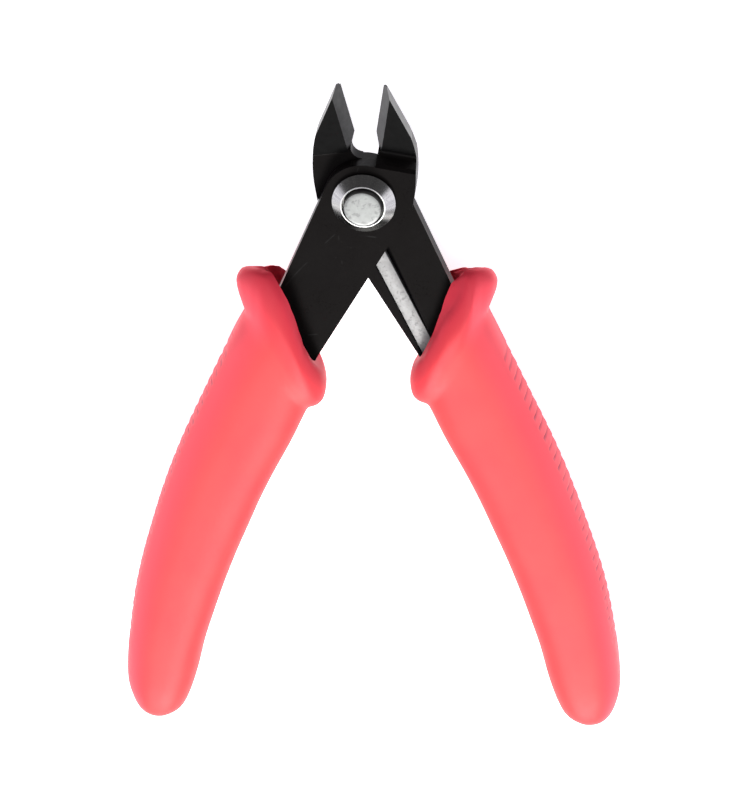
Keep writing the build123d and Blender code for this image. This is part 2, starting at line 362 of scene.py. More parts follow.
class EffectGroups:
    """The effects that several finishes share, each built once as a node group."""

    FINE_SHARE = 0.6
    PATCH_SHARE = 0.4
    SPECK_GATE = 0.72
    DRIFT_SCALE = 60.0
    DRIFT_REACH = 2.0 * MM
    SCRATCH_PATCH_SCALE = 260.0
    SCRATCH_PATCH_GATE = (0.56, 0.66)

    def __init__(self) -> None:
        """Builds every group."""
        self.facet = self._facet()
        self.grain = self._grain()
        self.specks = self._specks()
        self.scratches = self._scratches()

    @staticmethod
    def _start(
        name: str, inputs: dict[str, object], outputs: Sequence[str]
    ) -> tuple[Nodes, bpy.types.Node, bpy.types.Node]:
        """A new group with its sockets.

        Args:
            name: name of the group.
            inputs: each input's name and default, a tuple making it a vector.
            outputs: names of the outputs, all numbers.

        Returns:
            The wiring hand, the input node and the output node.
        """
        tree = bpy.data.node_groups.new(name, "ShaderNodeTree")
        for label, default in inputs.items():
            kind = "NodeSocketVector" if isinstance(default, tuple) else "NodeSocketFloat"
            socket = tree.interface.new_socket(label, in_out="INPUT", socket_type=kind)
            socket.default_value = default
        for label in outputs:
            tree.interface.new_socket(label, in_out="OUTPUT", socket_type="NodeSocketFloat")
        hand = Nodes(tree)
        return hand, hand.add("NodeGroupInput"), hand.add("NodeGroupOutput")

    def _facet(self) -> bpy.types.NodeTree:
        """A mask of the ground surface that lies in one plane."""
        hand, given, out = self._start(
            "Ground facet",
            {"Facing": (0.0, 0.0, 1.0), "Offset": 0.0, "Depth": 0.05 * MM, "Alignment": 0.97},
            ["Mask"],
        )
        place = hand.add("ShaderNodeTexCoord")
        faced = given.outputs["Facing"]
        across = hand.vector("DOT_PRODUCT", place.outputs["Object"], faced, result="Value")
        distance = hand.math("SUBTRACT", across, given.outputs["Offset"])
        near = hand.math("LESS_THAN", hand.math("ABSOLUTE", distance), given.outputs["Depth"])
        facing = hand.vector("DOT_PRODUCT", place.outputs["Normal"], faced, result="Value")
        aligned = hand.math("GREATER_THAN", facing, given.outputs["Alignment"])
        hand.join(hand.math("MULTIPLY", near, aligned), out.inputs["Mask"])
        return hand.tree

    def _grain(self) -> bpy.types.NodeTree:
        """Fine uneven tone of a worked surface, drawn out along one direction."""
        hand, given, out = self._start(
            "Worked grain",
            {"Vector": (0.0, 0.0, 0.0), "Scale": 2000.0, "Patch Scale": 200.0, "Contrast": 0.3},
            ["Tone", "Height"],
        )
        fine = hand.noise(given.outputs["Vector"], given.outputs["Scale"], 4.0, 0.65)
        patch = hand.noise(given.outputs["Vector"], given.outputs["Patch Scale"], 3.0, 0.55)
        both = hand.math(
            "ADD",
            hand.math("MULTIPLY", fine, self.FINE_SHARE),
            hand.math("MULTIPLY", patch, self.PATCH_SHARE),
        )
        centred = hand.math("SUBTRACT", both, 0.5)
        hand.join(
            hand.math("MULTIPLY_ADD", centred, given.outputs["Contrast"], 1.0), out.inputs["Tone"]
        )
        hand.join(fine, out.inputs["Height"])
        return hand.tree

    def _specks(self) -> bpy.types.NodeTree:
        """Scattered small marks."""
        hand, given, out = self._start(
            "Specks",
            {"Vector": (0.0, 0.0, 0.0), "Scale": 1000.0, "Share": 0.1, "Softness": 0.08},
            ["Mask"],
        )
        field_noise = hand.noise(given.outputs["Vector"], given.outputs["Scale"], 2.0, 0.5)
        gate = hand.math("SUBTRACT", self.SPECK_GATE, given.outputs["Share"])
        top = hand.math("ADD", gate, given.outputs["Softness"])
        hand.join(hand.ramp(field_noise, gate, top), out.inputs["Mask"])
        return hand.tree

    def _scratches(self) -> bpy.types.NodeTree:
        """Thin stray lines, as handling leaves on a smooth finish."""
        hand, given, out = self._start(
            "Handling scratches",
            {"Vector": (0.0, 0.0, 0.0), "Scale": 120.0, "Width": 0.02},
            ["Mask"],
        )
        place = given.outputs["Vector"]
        drift = hand.fill(hand.add("ShaderNodeTexNoise"), Vector=place, Scale=self.DRIFT_SCALE)
        reach = (self.DRIFT_REACH,) * 3
        warped = hand.vector("MULTIPLY_ADD", drift.outputs["Color"], reach, place)
        cells = hand.add("ShaderNodeTexVoronoi", feature="DISTANCE_TO_EDGE")
        hand.fill(cells, Vector=warped, Scale=given.outputs["Scale"])
        line = hand.ramp(cells.outputs["Distance"], 0.0, given.outputs["Width"], 1.0, 0.0)
        patch = hand.noise(place, self.SCRATCH_PATCH_SCALE, 2.0)
        hand.join(
            hand.math("MULTIPLY", line, hand.ramp(patch, *self.SCRATCH_PATCH_GATE)),
            out.inputs["Mask"],
        )
        return hand.tree


# ---------------------------------------------------------------- finishes


@dataclass(frozen=True)
class Grain:
    """How strong and how coarse a worked grain is."""

    scale: float
    patch_scale: float
    contrast: float


@dataclass(frozen=True)
class Specks:
    """How scattered marks lie over a tone."""

    scale: float
    share: float
    strength: float
    colour: Colour
    softness: float = 0.08


@dataclass(frozen=True)
class Finish:
    """What every finish has: its groups and a way to start a material."""

    groups: EffectGroups

    def start(self, name: str) -> tuple[bpy.types.Material, Nodes, bpy.types.Node]:
        """A new node material.

        Args:
            name: name of the material.

        Returns:
            The material, its wiring hand and its Principled BSDF.
        """
        material = bpy.data.materials.new(name)
        material.use_nodes = True
        hand = Nodes(material.node_tree)
        shader = material.node_tree.nodes["Principled BSDF"]
        return material, hand, shader

    def place_grain(
        self, hand: Nodes, spot: bpy.types.NodeSocket, grain: Grain
    ) -> bpy.types.Node:
        """Places the worked grain, which gives a tone and a height."""
        return hand.group(
            self.groups.grain,
            Vector=spot,
            Scale=grain.scale,
            Patch_Scale=grain.patch_scale,
            Contrast=grain.contrast,
        )

    def speckle(
        self, hand: Nodes, spot: bpy.types.NodeSocket, tone: object, specks: Specks
    ) -> bpy.types.NodeSocket:
        """Lays specks over a tone.

        Args:
            hand: the material's wiring hand.
            spot: the place on the object.
            tone: the colour under the specks.
            specks: how they lie.

        Returns:
            The speckled colour.
        """
        mask = hand.group(
            self.groups.specks,
            Vector=spot,
            Scale=specks.scale,
            Share=specks.share,
            Softness=specks.softness,
        ).outputs["Mask"]
        return hand.mix(hand.math("MULTIPLY", mask, specks.strength), tone, specks.colour)

    @staticmethod
    def bump(
        hand: Nodes, shader: bpy.types.Node, height: bpy.types.NodeSocket, depth: float
    ) -> None:
        """Feeds a height to the shader's normal, depth being its full range in mm."""
        node = hand.add("ShaderNodeBump")
        hand.fill(node, Strength=1.0, Distance=depth * MM, Height=height)
        hand.join(node.outputs["Normal"], shader.inputs["Normal"])


@dataclass(frozen=True)
class GroundFacet:
    """A flat ground surface on a steel half, in its closed frame."""

    normal: tuple[float, float, float]
    through: tuple[float, float, float]
    colour: float
    metallic: float
    roughness: float = 0.34


@dataclass(frozen=True)
class BlackenedSteel(Finish):
    """Black oxide over steel, ground bright where the jaws were sharpened."""

    half: HalfFrame = HalfFrame(Side.FRONT)
    colour: Colour = (0.0072, 0.0061, 0.006)
    roughness: float = 0.3
    facets: Sequence[GroundFacet] = ()
    worn: Colour = (0.03, 0.03, 0.03)
    scratch_scale: float = 75.0
    scratch_width: float = 0.012
    scratch_strength: float = 0.55
    grain: Grain = Grain(2600.0, 190.0, 0.8)
    streak: Grain = Grain(1100.0, 420.0, 1.7)
    specks: Specks = Specks(1500.0, 0.03, 0.2, (0.03, 0.03, 0.03))
    specular: float = 0.05
    # both in mm
    facet_depth: float = 0.06
    grain_depth: float = 0.004

    def build(self, name: str) -> bpy.types.Material:
        """Builds the material."""
        material, hand, shader = self.start(name)
        place = hand.add("ShaderNodeTexCoord")
        spot = place.outputs["Object"]
        grain = self.place_grain(hand, spot, self.grain)
        scratch = hand.group(
            self.groups.scratches, Vector=spot, Scale=self.scratch_scale, Width=self.scratch_width
        ).outputs["Mask"]
        base = hand.mix(
            hand.math("MULTIPLY", scratch, self.scratch_strength), self.colour, self.worn
        )
        base = self.speckle(hand, spot, base, self.specks)
        metal = 0.0
        rough = hand.math("MULTIPLY", grain.outputs["Tone"], self.roughness)
        for facet in self.facets:
            facing = self.half.direction(*facet.normal)
            offset = facing.dot(self.half.point(*facet.through))
            mask = hand.group(
                self.groups.facet,
                Facing=tuple(facing),
                Offset=offset,
                Depth=self.facet_depth * MM,
            ).outputs["Mask"]
            streak = self.place_grain(hand, spot, self.streak).outputs["Tone"]
            tone = hand.add("ShaderNodeCombineColor")
            grey = hand.math("MULTIPLY", streak, facet.colour)
            for channel in tone.inputs:
                hand.join(grey, channel)
            base = hand.mix(mask, base, tone.outputs["Color"])
            metal = hand.math("MAXIMUM", hand.math("MULTIPLY", mask, facet.metallic), metal)
            rough = hand.math(
                "ADD",
                hand.math("MULTIPLY", rough, hand.math("SUBTRACT", 1.0, mask)),
                hand.math("MULTIPLY", mask, facet.roughness),
            )
        hand.fill(shader, Base_Color=base, Metallic=metal, Roughness=rough)
        hand.fill(shader, Specular_IOR_Level=self.specular)
        self.bump(hand, shader, grain.outputs["Height"], self.grain_depth)
        return material


@dataclass(frozen=True)
class TurnedSteel(Finish):
    """Bright steel cut in a lathe, with fine rings about the pivot."""

    colour: Colour = (0.37, 0.367, 0.355)
    roughness: float = 0.22
    anisotropy: float = 0.55
    ring_scale: float = 9000.0
    ring_shade: float = 0.82
    ring_depth: float = 0.0008
    patches: Grain = Grain(1500.0, 420.0, 0.45)
    specks: Specks = Specks(2600.0, 0.12, 0.35, (0.14, 0.14, 0.14))
    # darker sectors round the axis: painted reflection of the turned cone's dark surroundings
    reflection_sector_tone: Colour = (0.2, 0.2, 0.2)
    reflection_sector_strength: float = 0.55
    # the near-white inner rim is a painted highlight
    rim_highlight: Colour = (0.95, 0.95, 0.94)
    rim_dulling: float = 0.35
    # where the painted rim highlight ends outwards and begins upwards, in mm
    rim_radius: Point = (3.54, 3.62)
    rim_height: Point = (8.1, 8.2)

    def build(self, name: str) -> bpy.types.Material:
        """Builds the material."""
        material, hand, shader = self.start(name)
        spot = hand.add("ShaderNodeTexCoord").outputs["Object"]
        spread = hand.apart(spot)
        flat = hand.together(X=spread["X"], Y=spread["Y"])
        radius = hand.vector("LENGTH", flat, result="Value")
        rings = hand.noise(hand.together(X=radius, Y=spread["Z"]), self.ring_scale, 3.0, 0.7)
        patches = self.place_grain(hand, spot, self.patches)
        shaded = tuple(self.ring_shade * channel for channel in self.colour)
        tone = hand.mix(hand.ramp(rings, 0.3, 0.7), shaded, self.colour)
        tone = self.speckle(hand, spot, tone, self.specks)
        # painted reflection: darker sectors by angle round the axis
        reflection_sectors = hand.noise(hand.vector("NORMALIZE", flat), 5.0, 5.0, 0.7)
        tone = hand.mix(hand.ramp(reflection_sectors, 0.4, 0.62, 0.0, self.reflection_sector_strength), tone, self.reflection_sector_tone)
        near, far = (value * MM for value in self.rim_radius)
        low, high = (value * MM for value in self.rim_height)
        inside = hand.ramp(radius, near, far, 1.0, 0.0)
        # painted highlight along the collar's inner rim
        rim_highlight = hand.math("MULTIPLY", inside, hand.ramp(spread["Z"], low, high))
        tone = hand.mix(rim_highlight, tone, self.rim_highlight)
        rough = hand.math("MULTIPLY", patches.outputs["Tone"], self.roughness)
        rough = hand.math("MULTIPLY_ADD", rim_highlight, self.rim_dulling, rough)
        tangent = hand.add("ShaderNodeTangent", direction_type="RADIAL", axis="Z")
        hand.fill(shader, Base_Color=tone, Metallic=1.0, Roughness=rough)
        hand.fill(shader, Anisotropic=self.anisotropy, Tangent=tangent.outputs["Tangent"])
        self.bump(hand, shader, rings, self.ring_depth)
        return material


@dataclass(frozen=True)
class PlainSteel(Finish):
    """Bright steel with a dull, freckled skin."""

    colour: Colour = (0.355, 0.352, 0.352)
    roughness: float = 0.42
    metallic: float = 0.35
    grain: Grain = Grain(1400.0, 520.0, 0.8)
    grain_depth: float = 0.01
    specks: Specks = Specks(1900.0, 0.2, 0.6, (0.16, 0.16, 0.16), 0.16)
    # painted shade: steep walls darken towards this near-black colour
    wall_shade: float = 0.0
    wall_shade_colour: Colour = (0.012, 0.008, 0.007)
    wall_slope: Point = (0.5, 0.8)

    def build(self, name: str) -> bpy.types.Material:
        """Builds the material."""
        material, hand, shader = self.start(name)
        place = hand.add("ShaderNodeTexCoord")
        spot = place.outputs["Object"]
        grain = self.place_grain(hand, spot, self.grain)
        tone = hand.vector("SCALE", Vector=self.colour, Scale=grain.outputs["Tone"])
        shade = self.speckle(hand, spot, tone, self.specks)
        # painted shade on the steep walls
        if self.wall_shade:
            slope = hand.math("ABSOLUTE", hand.apart(place.outputs["Normal"])["Z"])
            wall_shade_mask = hand.ramp(slope, *self.wall_slope, self.wall_shade, 0.0)
            shade = hand.mix(wall_shade_mask, shade, self.wall_shade_colour)
        rough = hand.math("MULTIPLY", grain.outputs["Tone"], self.roughness)
        hand.fill(shader, Base_Color=shade, Metallic=self.metallic, Roughness=rough)
        self.bump(hand, shader, grain.outputs["Height"], self.grain_depth)
        return material


@dataclass(frozen=True)
class CoralVinyl(Finish):
    """Dipped coral vinyl: matt, slightly mottled, with a few dark pinpricks, and painted shade and
    sheen laid over it.
    """

    colour: Colour = (0.93, 0.071, 0.074)
    deep: Colour = (0.91, 0.063, 0.071)
    # painted light: mouth is painted shade at the grip's mouth, side is painted sheen on the outer
    # side, shade is painted shade under each tooth
    mouth: Colour = (0.62, 0.027, 0.053)
    side: Colour = (0.93, 0.094, 0.122)
    shade: Colour = (0.3, 0.02, 0.05)
    roughness: float = 0.52
    specular: float = 0.25
    cloud_scale: float = 110.0
    grain: Grain = Grain(1800.0, 90.0, 0.5)
    grain_depth: float = 0.012
    specks: Specks = Specks(520.0, -0.04, 0.5, (0.3, 0.02, 0.03), 0.05)

    def build(self, name: str) -> bpy.types.Material:
        """Builds the material."""
        material, hand, shader = self.start(name)
        spot = hand.add("ShaderNodeTexCoord").outputs["Object"]
        grain = self.place_grain(hand, spot, self.grain)
        cloud = hand.noise(spot, self.cloud_scale, 2.0)
        tone = hand.mix(hand.ramp(cloud, 0.35, 0.7), self.colour, self.deep)
        tone = self.speckle(hand, spot, tone, self.specks)
        # lays the painted sheen of the outer side, the painted shade of the mouth and the painted
        # shade under the teeth over the vinyl's own colour
        marks = hand.add("ShaderNodeAttribute", attribute_name="marks")
        parts = hand.apart(marks.outputs["Vector"])
        for part, other in (("Z", self.side), ("Y", self.mouth), ("X", self.shade)):
            tone = hand.mix(parts[part], tone, other)
        rough = hand.math("MULTIPLY", grain.outputs["Tone"], self.roughness)
        hand.fill(shader, Base_Color=tone, Roughness=rough, Specular_IOR_Level=self.specular)
        self.bump(hand, shader, grain.outputs["Height"], self.grain_depth)
        return material


# ---------------------------------------------------------------- pieces


@dataclass(frozen=True)
class Station:
    """One cross-section of a grip, in the closed frame of its half, in mm."""

    outer: Point
    inner: Point
    height: float
    bow: float = 0.0
    roundness: float = 2.7


@dataclass
class Grip:
    """A dipped grip: flared, hollow mouth, saw-toothed outer side, round end."""

    name: str
    node: str
    body: str
    half: HalfFrame
    middle: float
    corners: int = 96
    mouth_height: float = 3.6
    reach: float = 104.0
    outer_trim: Sequence[Point] = ((0.0, 0.0), (1.0, 0.0))
    tooth_pitch: float = 2.0
    tooth_depth: float = 0.32
    tooth_reach: float = 0.94
    tooth_edge: float = 0.03
    teeth_from: float = -30.5
    teeth_to: float = -88.5
    # shares of the tooth pitch that the cut and the painted shade under it take
    cut_share: float = 0.75
    shade_share: float = 0.45
    # start and length of the mouth's painted shade, in stations, and of the outer side's painted
    # sheen, across
    mouth_shade_span: Point = (0.8, 4.6)
    side_sheen_span: Point = (0.25, 0.6)
    # spacing of the rings along the teeth and elsewhere, in mm
    tooth_spacing: float = 0.25
    plain_spacing: float = 0.6
    smooth_angle: float = 50.0
    # rise of the mouth's plan path off its chord, and its lean: (share of chord, value)
    rim_bow: Sequence[Point] = (
        (0.0, 0.0), (0.065, 1.9), (0.12, 2.9), (0.24, 2.85), (0.35, 2.7), (0.5, 2.05),
        (0.65, 1.15), (0.75, 0.5), (0.92, 0.0), (1.0, 0.0),
    )
    rake: Sequence[Point] = (
        (0.0, 0.46), (0.065, 0.46), (0.12, 0.35), (0.18, 0.22), (0.26, 0.13), (1.0, 0.13),
    )
    hollow_bow: Sequence[Point] = (
        (0.0, 0.0), (0.15, 1.09), (0.3, 0.9), (0.46, 0.45), (0.69, -0.04), (0.95, -0.12),
        (1.0, 0.0),
    )
    hollow: Sequence[Station] = (
        Station((-15.2, -24.0), (-5.6, -36.0), 3.2, 0.3),
        Station((-14.6, -19.6), (-4.4, -33.5), 3.45, 0.6),
        Station((-13.9, -15.2), (-3.55, -30.5), 3.6, 1.0),
        Station((-13.8, -14.4), (-3.4, -29.9), 3.72, 1.0),
    )
    skin: Sequence[Station] = (
        Station((-16.4, -14.0), (-2.55, -30.7), 4.15, 1.0),
        Station((-17.5, -14.6), (-2.0, -31.4), 4.8, 0.96),
        Station((-18.1, -16.4), (-1.35, -33.2), 5.3, 0.88),
        Station((-17.7, -18.5), (-1.1, -35.0), 5.6, 0.74),
        Station((-16.85, -20.7), (-1.2, -36.7), 5.5, 0.5),
        Station((-16.15, -22.3), (-1.9, -37.9), 5.25, 0.3),
        Station((-16.0, -23.1), (-2.7, -38.4), 5.15, 0.2),
        Station((-16.2, -24.1), (-3.4, -39.1), 5.0, 0.12),
        Station((-17.1, -27.5), (-4.05, -41.3), 4.9, 0.0, 2.9),
        Station((-18.8, -34.0), (-4.95, -44.8), 4.85, 0.0, 3.0),
        Station((-20.4, -40.2), (-5.9, -48.0), 4.8, 0.0, 3.0),
        Station((-22.2, -47.2), (-7.2, -52.2), 4.8, 0.0, 3.0),
        Station((-23.6, -53.5), (-8.65, -57.5), 4.8, 0.0, 3.0),
        Station((-24.75, -60.0), (-9.95, -63.2), 4.8, 0.0, 3.0),
        Station((-25.6, -66.4), (-11.3, -69.3), 4.8, 0.0, 3.0),
        Station((-26.3, -72.8), (-12.4, -75.2), 4.8, 0.0, 3.0),
        Station((-26.7, -79.3), (-13.3, -81.0), 4.8, 0.0, 3.0),
        Station((-26.65, -85.7), (-14.1, -86.9), 4.8, 0.0, 3.0),
        Station((-26.4, -92.0), (-14.55, -93.0), 4.75, 0.0, 2.9),
        Station((-25.8, -97.0), (-15.2, -97.8), 4.6, 0.0, 2.7),
        Station((-24.7, -100.2), (-16.1, -101.0), 4.1, 0.0, 2.5),
        Station((-23.5, -102.3), (-17.6, -102.8), 3.3, 0.0, 2.3),
        Station((-22.2, -103.5), (-19.0, -103.7), 2.1, 0.0, 2.2),
        Station((-21.3, -104.0), (-20.2, -104.0), 0.8, 0.0, 2.0),
    )

    @staticmethod
    def _along(profile: Sequence[Point], share: float) -> float:
        """The height of a profile at share, between its given points."""
        for (low, first), (high, second) in zip(profile, profile[1:]):
            if share <= high:
                step = (share - low) / (high - low)
                eased = step * step * (3.0 - 2.0 * step)
                return first + (second - first) * (0.5 * step + 0.5 * eased)
        return profile[-1][1]

    @staticmethod
    def _between(values: Sequence[float], step: float) -> float:
        """A Catmull-Rom blend of the middle two of four values."""
        a, b, c, d = values
        return 0.5 * (
            2.0 * b
            + (c - a) * step
            + (2.0 * a - 5.0 * b + 4.0 * c - d) * step**2
            + (3.0 * b - a - 3.0 * c + d) * step**3
        )

    def _station(self, position: float) -> Station:
        """The skin's cross-section at a position between its given stations."""
        last = len(self.skin) - 1
        index = min(int(position), last - 1)
        picked = [self.skin[min(max(index + k, 0), last)] for k in (-1, 0, 1, 2)]
        step = position - index
        rows = [(*s.outer, *s.inner, s.height, s.bow, s.roundness) for s in picked]
        *place, height, bow, roundness = (self._between(column, step) for column in zip(*rows))
        return Station(tuple(place[:2]), tuple(place[2:]), height, bow, roundness)

    def _tooth_share(self, y: float, fade: float) -> float:
        """How far a tooth's cut or shade has faded at y.

        Args:
            y: where the cross-section meets the outer side, in mm.
            fade: the share of the pitch over which it fades.

        Returns:
            1 where a tooth starts, 0 where it has faded or where there are no teeth.
        """
        if not self.teeth_to < y < self.teeth_from:
            return 0.0
        share = ((self.teeth_from - y) / self.tooth_pitch) % 1.0
        return max(0.0, 1.0 - share / fade)

    def _ring(self, station: Station, profile: Sequence[Point]) -> list[Vector]:
        """The corners of one cross-section.

        Args:
            station: the cross-section.
            profile: the rise of its plan path off the chord.

        Returns:
            The corners in metres, in the row frame.
        """
        outer, inner = Vector(station.outer), Vector(station.inner)
        chord = inner - outer
        down = min(1.0, max(0.0, -outer.y / self.reach))
        outer -= chord.normalized() * self._along(self.outer_trim, down)
        chord = inner - outer
        rise = Vector((-chord.y, chord.x)).normalized()
        power = 2.0 / station.roundness
        cut = self.tooth_depth * self._tooth_share(station.outer[1], self.cut_share)
        corners = []
        for index in range(self.corners):
            angle = 2.0 * math.pi * index / self.corners
            across = math.copysign(abs(math.cos(angle)) ** power, math.cos(angle))
            upward = math.copysign(abs(math.sin(angle)) ** power, math.sin(angle))
            share = 0.5 - 0.5 * across
            place = outer + chord * share + rise * self._along(profile, share) * station.bow
            if cut and across > self.tooth_reach:
                taper = min(1.0, (across - self.tooth_reach) / self.tooth_edge)
                place += chord.normalized() * cut * taper
            height = station.height * upward
            rake = self._along(self.rake, share)
            lean = rake * (height - self.mouth_height) * min(1.0, station.bow)
            corners.append(self.half.point(place.x, place.y + lean, self.middle + height))
        return corners

    def _painted_light_shares(self, y: float, across: float, position: float) -> Vector:
        """How far a corner takes the vinyl's three painted tones, each from 0 to 1.

        Args:
            y: where its cross-section meets the outer side, in mm.
            across: how far it lies towards the outer side, from -1 to 1.
            position: place of its cross-section among the skin's stations.

        Returns:
            The painted shade under a tooth, the painted shade of the mouth and the painted sheen of
            the outer side.
        """
        # painted shade under a tooth, painted shade at the mouth, painted sheen on the outer side
        under = self._tooth_share(y, self.shade_share) if across > self.tooth_reach else 0.0
        start, length = self.mouth_shade_span
        mouth = min(1.0, max(0.0, 1.0 - (position - start) / length))
        start, length = self.side_sheen_span
        side = min(1.0, max(0.0, (across - start) / length))
        return Vector((under, mouth, side * side * (3.0 - 2.0 * side)))

    @staticmethod
    def _key(corner: Vector) -> tuple[int, ...]:
        """A corner's place to the nearest micrometre, to find it again by."""
        return tuple(round(value / (0.001 * MM)) for value in corner)

    def _store_painted_light(
        self,
        piece: bpy.types.Object,
        positions: Sequence[float],
        rings: Sequence[Sequence[Vector]],
    ) -> None:
        """Stores on each corner the painted shade and sheen that it takes, for the vinyl to read.

        Args:
            piece: the grip.
            positions: where the skin's cross-sections lie among its stations.
            rings: their corners, in the same order.
        """
        marks = {}
        for position, ring in zip(positions, rings):
            station = self._station(position)
            for index, corner in enumerate(ring):
                turned = math.cos(2.0 * math.pi * index / self.corners)
                across = math.copysign(abs(turned) ** (2.0 / station.roundness), turned)
                marks[self._key(corner)] = self._painted_light_shares(station.outer[1], across, position)
        store = piece.data.attributes.new("marks", "FLOAT_VECTOR", "POINT")
        # corners off the skin's rings, in the hollow and at the poles, take the full painted shade
        # of the mouth
        inside = Vector((0.0, 1.0, 0.0))
        for vertex in piece.data.vertices:
            store.data[vertex.index].vector = marks.get(self._key(vertex.co), inside)

    def _positions(self) -> list[float]:
        """Where the skin's rings lie: close together along the teeth."""
        positions = []
        for index in range(len(self.skin) - 1):
            first, second = self.skin[index], self.skin[index + 1]
            run = (Vector(second.outer) - Vector(first.outer)).length
            toothed = self.teeth_to < first.outer[1] < self.teeth_from + 3.0
            spacing = self.tooth_spacing if toothed else self.plain_spacing
            pieces = max(2, round(run / spacing))
            positions += [index + k / pieces for k in range(pieces)]
        return positions + [len(self.skin) - 1.0]

    def build(self, finish: bpy.types.Material) -> bpy.types.Object:
        """Makes the grip's mesh and dresses it.

        Args:
            finish: the vinyl.

        Returns:
            The piece, riding on its half.
        """
        hollow = [self._ring(station, self.hollow_bow) for station in self.hollow]
        positions = self._positions()
        skin = [self._ring(self._station(position), self.rim_bow) for position in positions]
        piece = Bench.tube(self.name, hollow + skin)
        self._store_painted_light(piece, positions, skin)
        Bench.finish(piece, self.smooth_angle)
        piece.data.materials.append(finish)
        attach(piece, self.body)
        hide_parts(self.node)
        piece.visible_glossy = False
        return piece


@dataclass
class Pivot:
    """The hinge: a headed pin and the coned collar pressed on its end."""

    body: str = "rear_body"
    corners: int = 144
    smooth_angle: float = 25.0
    # (radius, height) in mm, from the axis outwards and back
    pin_profile: Sequence[Point] = (
        (3.4, 0.0), (3.5, 0.02), (3.56, 0.1), (4.95, 1.42), (5.05, 1.52), (5.05, 1.6),
        (3.0, 1.6), (3.0, 8.2), (2.96, 8.85), (2.88, 8.98), (2.72, 9.05), (2.4, 9.08), (1.2, 9.08),
    )
    collar_profile: Sequence[Point] = (
        (3.1, 6.65), (5.05, 6.63), (5.07, 6.7), (5.05, 6.86), (3.6, 8.21), (3.55, 8.26),
        (3.5, 8.28), (3.42, 8.28), (3.37, 8.25), (3.35, 8.18), (3.35, 7.35), (3.1, 7.33),
    )

    def _rings(self, profile: Sequence[Point]) -> list[list[Vector]]:
        """The rings of a turned shape about the pivot's axis.

        Args:
            profile: radius and height of each turned edge, in mm.

        Returns:
            The corners of each ring, in metres.
        """
        rings = []
        for radius, height in profile:
            ring = []
            for index in range(self.corners):
                angle = 2.0 * math.pi * index / self.corners
                across, along = radius * math.cos(angle), radius * math.sin(angle)
                ring.append(Vector((across, along, height)) * MM)
            rings.append(ring)
        return rings

    def build(
        self, turned: bpy.types.Material, struck: bpy.types.Material
    ) -> list[bpy.types.Object]:
        """Makes the pin and the collar.

        Args:
            turned: finish of the collar.
            struck: finish of the pin.

        Returns:
            Both pieces.
        """
        pin = Bench.tube("pivot_pin_turned", self._rings(self.pin_profile))
        Bench.finish(pin, self.smooth_angle)
        pin.data.materials.append(struck)
        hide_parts("pivot_pin")
        collar = self._collar()
        collar.data.materials.append(turned)
        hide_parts("pivot_collar")
        for piece in (pin, collar):
            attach(piece, self.body)
        return [pin, collar]

    def _collar(self) -> bpy.types.Object:
        """The collar: a turned section carried round and joined to itself."""
        piece, first = Bench.skin("pivot_collar_turned", self._rings(self.collar_profile))
        Bench.select_ring(piece, first, keep=True)
        bpy.ops.mesh.bridge_edge_loops()
        Bench.turn_outwards()
        Bench.finish(piece, self.smooth_angle)
        return piece


@dataclass
class ReturnSpring:
    """The flat spring that opens the handles, bent as they close."""

    toe: Point = (-0.91, -4.50)
    lean: Point = (0.417, -0.909)
    reach: float = 32.4
    width: float = 2.4
    top: float = 3.95
    thickness: float = 1.05
    bend_from: float = 13.0
    cuts: int = 40
    edge_width: float = 0.1
    edge_segments: int = 2
    smooth_angle: float = 35.0

    def build(self, finish: bpy.types.Material) -> bpy.types.Object:
        """Makes the strip between the halves.

        Args:
            finish: the strip's steel.

        Returns:
            The piece.
        """
        along = Vector((self.lean[0], self.lean[1], 0.0)).normalized()
        toe = Vector((self.toe[0], self.toe[1], self.top - self.thickness / 2.0))
        centre = (toe + along * self.reach / 2.0) * MM
        Bench.clear()
        bpy.ops.mesh.primitive_cube_add(size=MM, location=centre)
        piece = bpy.context.object
        piece.name = "return_spring_strip"
        bpy.ops.object.mode_set(mode="EDIT")
        bpy.ops.mesh.select_all(action="SELECT")
        bpy.ops.transform.resize(
            value=(self.reach, self.width, self.thickness), center_override=centre
        )
        mesh = bmesh.from_edit_mesh(piece.data)
        bpy.ops.mesh.select_all(action="DESELECT")
        long_edges = [e for e in mesh.edges if abs(e.verts[0].co.x - e.verts[1].co.x) > MM]
        bmesh.ops.subdivide_edges(mesh, edges=long_edges, cuts=self.cuts, use_grid_fill=True)
        bmesh.update_edit_mesh(piece.data)
        bpy.ops.object.mode_set(mode="OBJECT")
        piece.data.transform(Matrix.Rotation(math.atan2(along.y, along.x), 4, "Z"))
        bpy.ops.object.transform_apply(location=True, rotation=True, scale=True)
        edge = piece.modifiers.new("edges", "BEVEL")
        edge.width = self.edge_width * MM
        edge.segments = self.edge_segments
        edge.limit_method = "ANGLE"
        bpy.ops.object.modifier_apply(modifier=edge.name)
        Bench.finish(piece, self.smooth_angle)
        piece.data.materials.append(finish)
        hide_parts("return_spring")
        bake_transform(piece)
        return piece


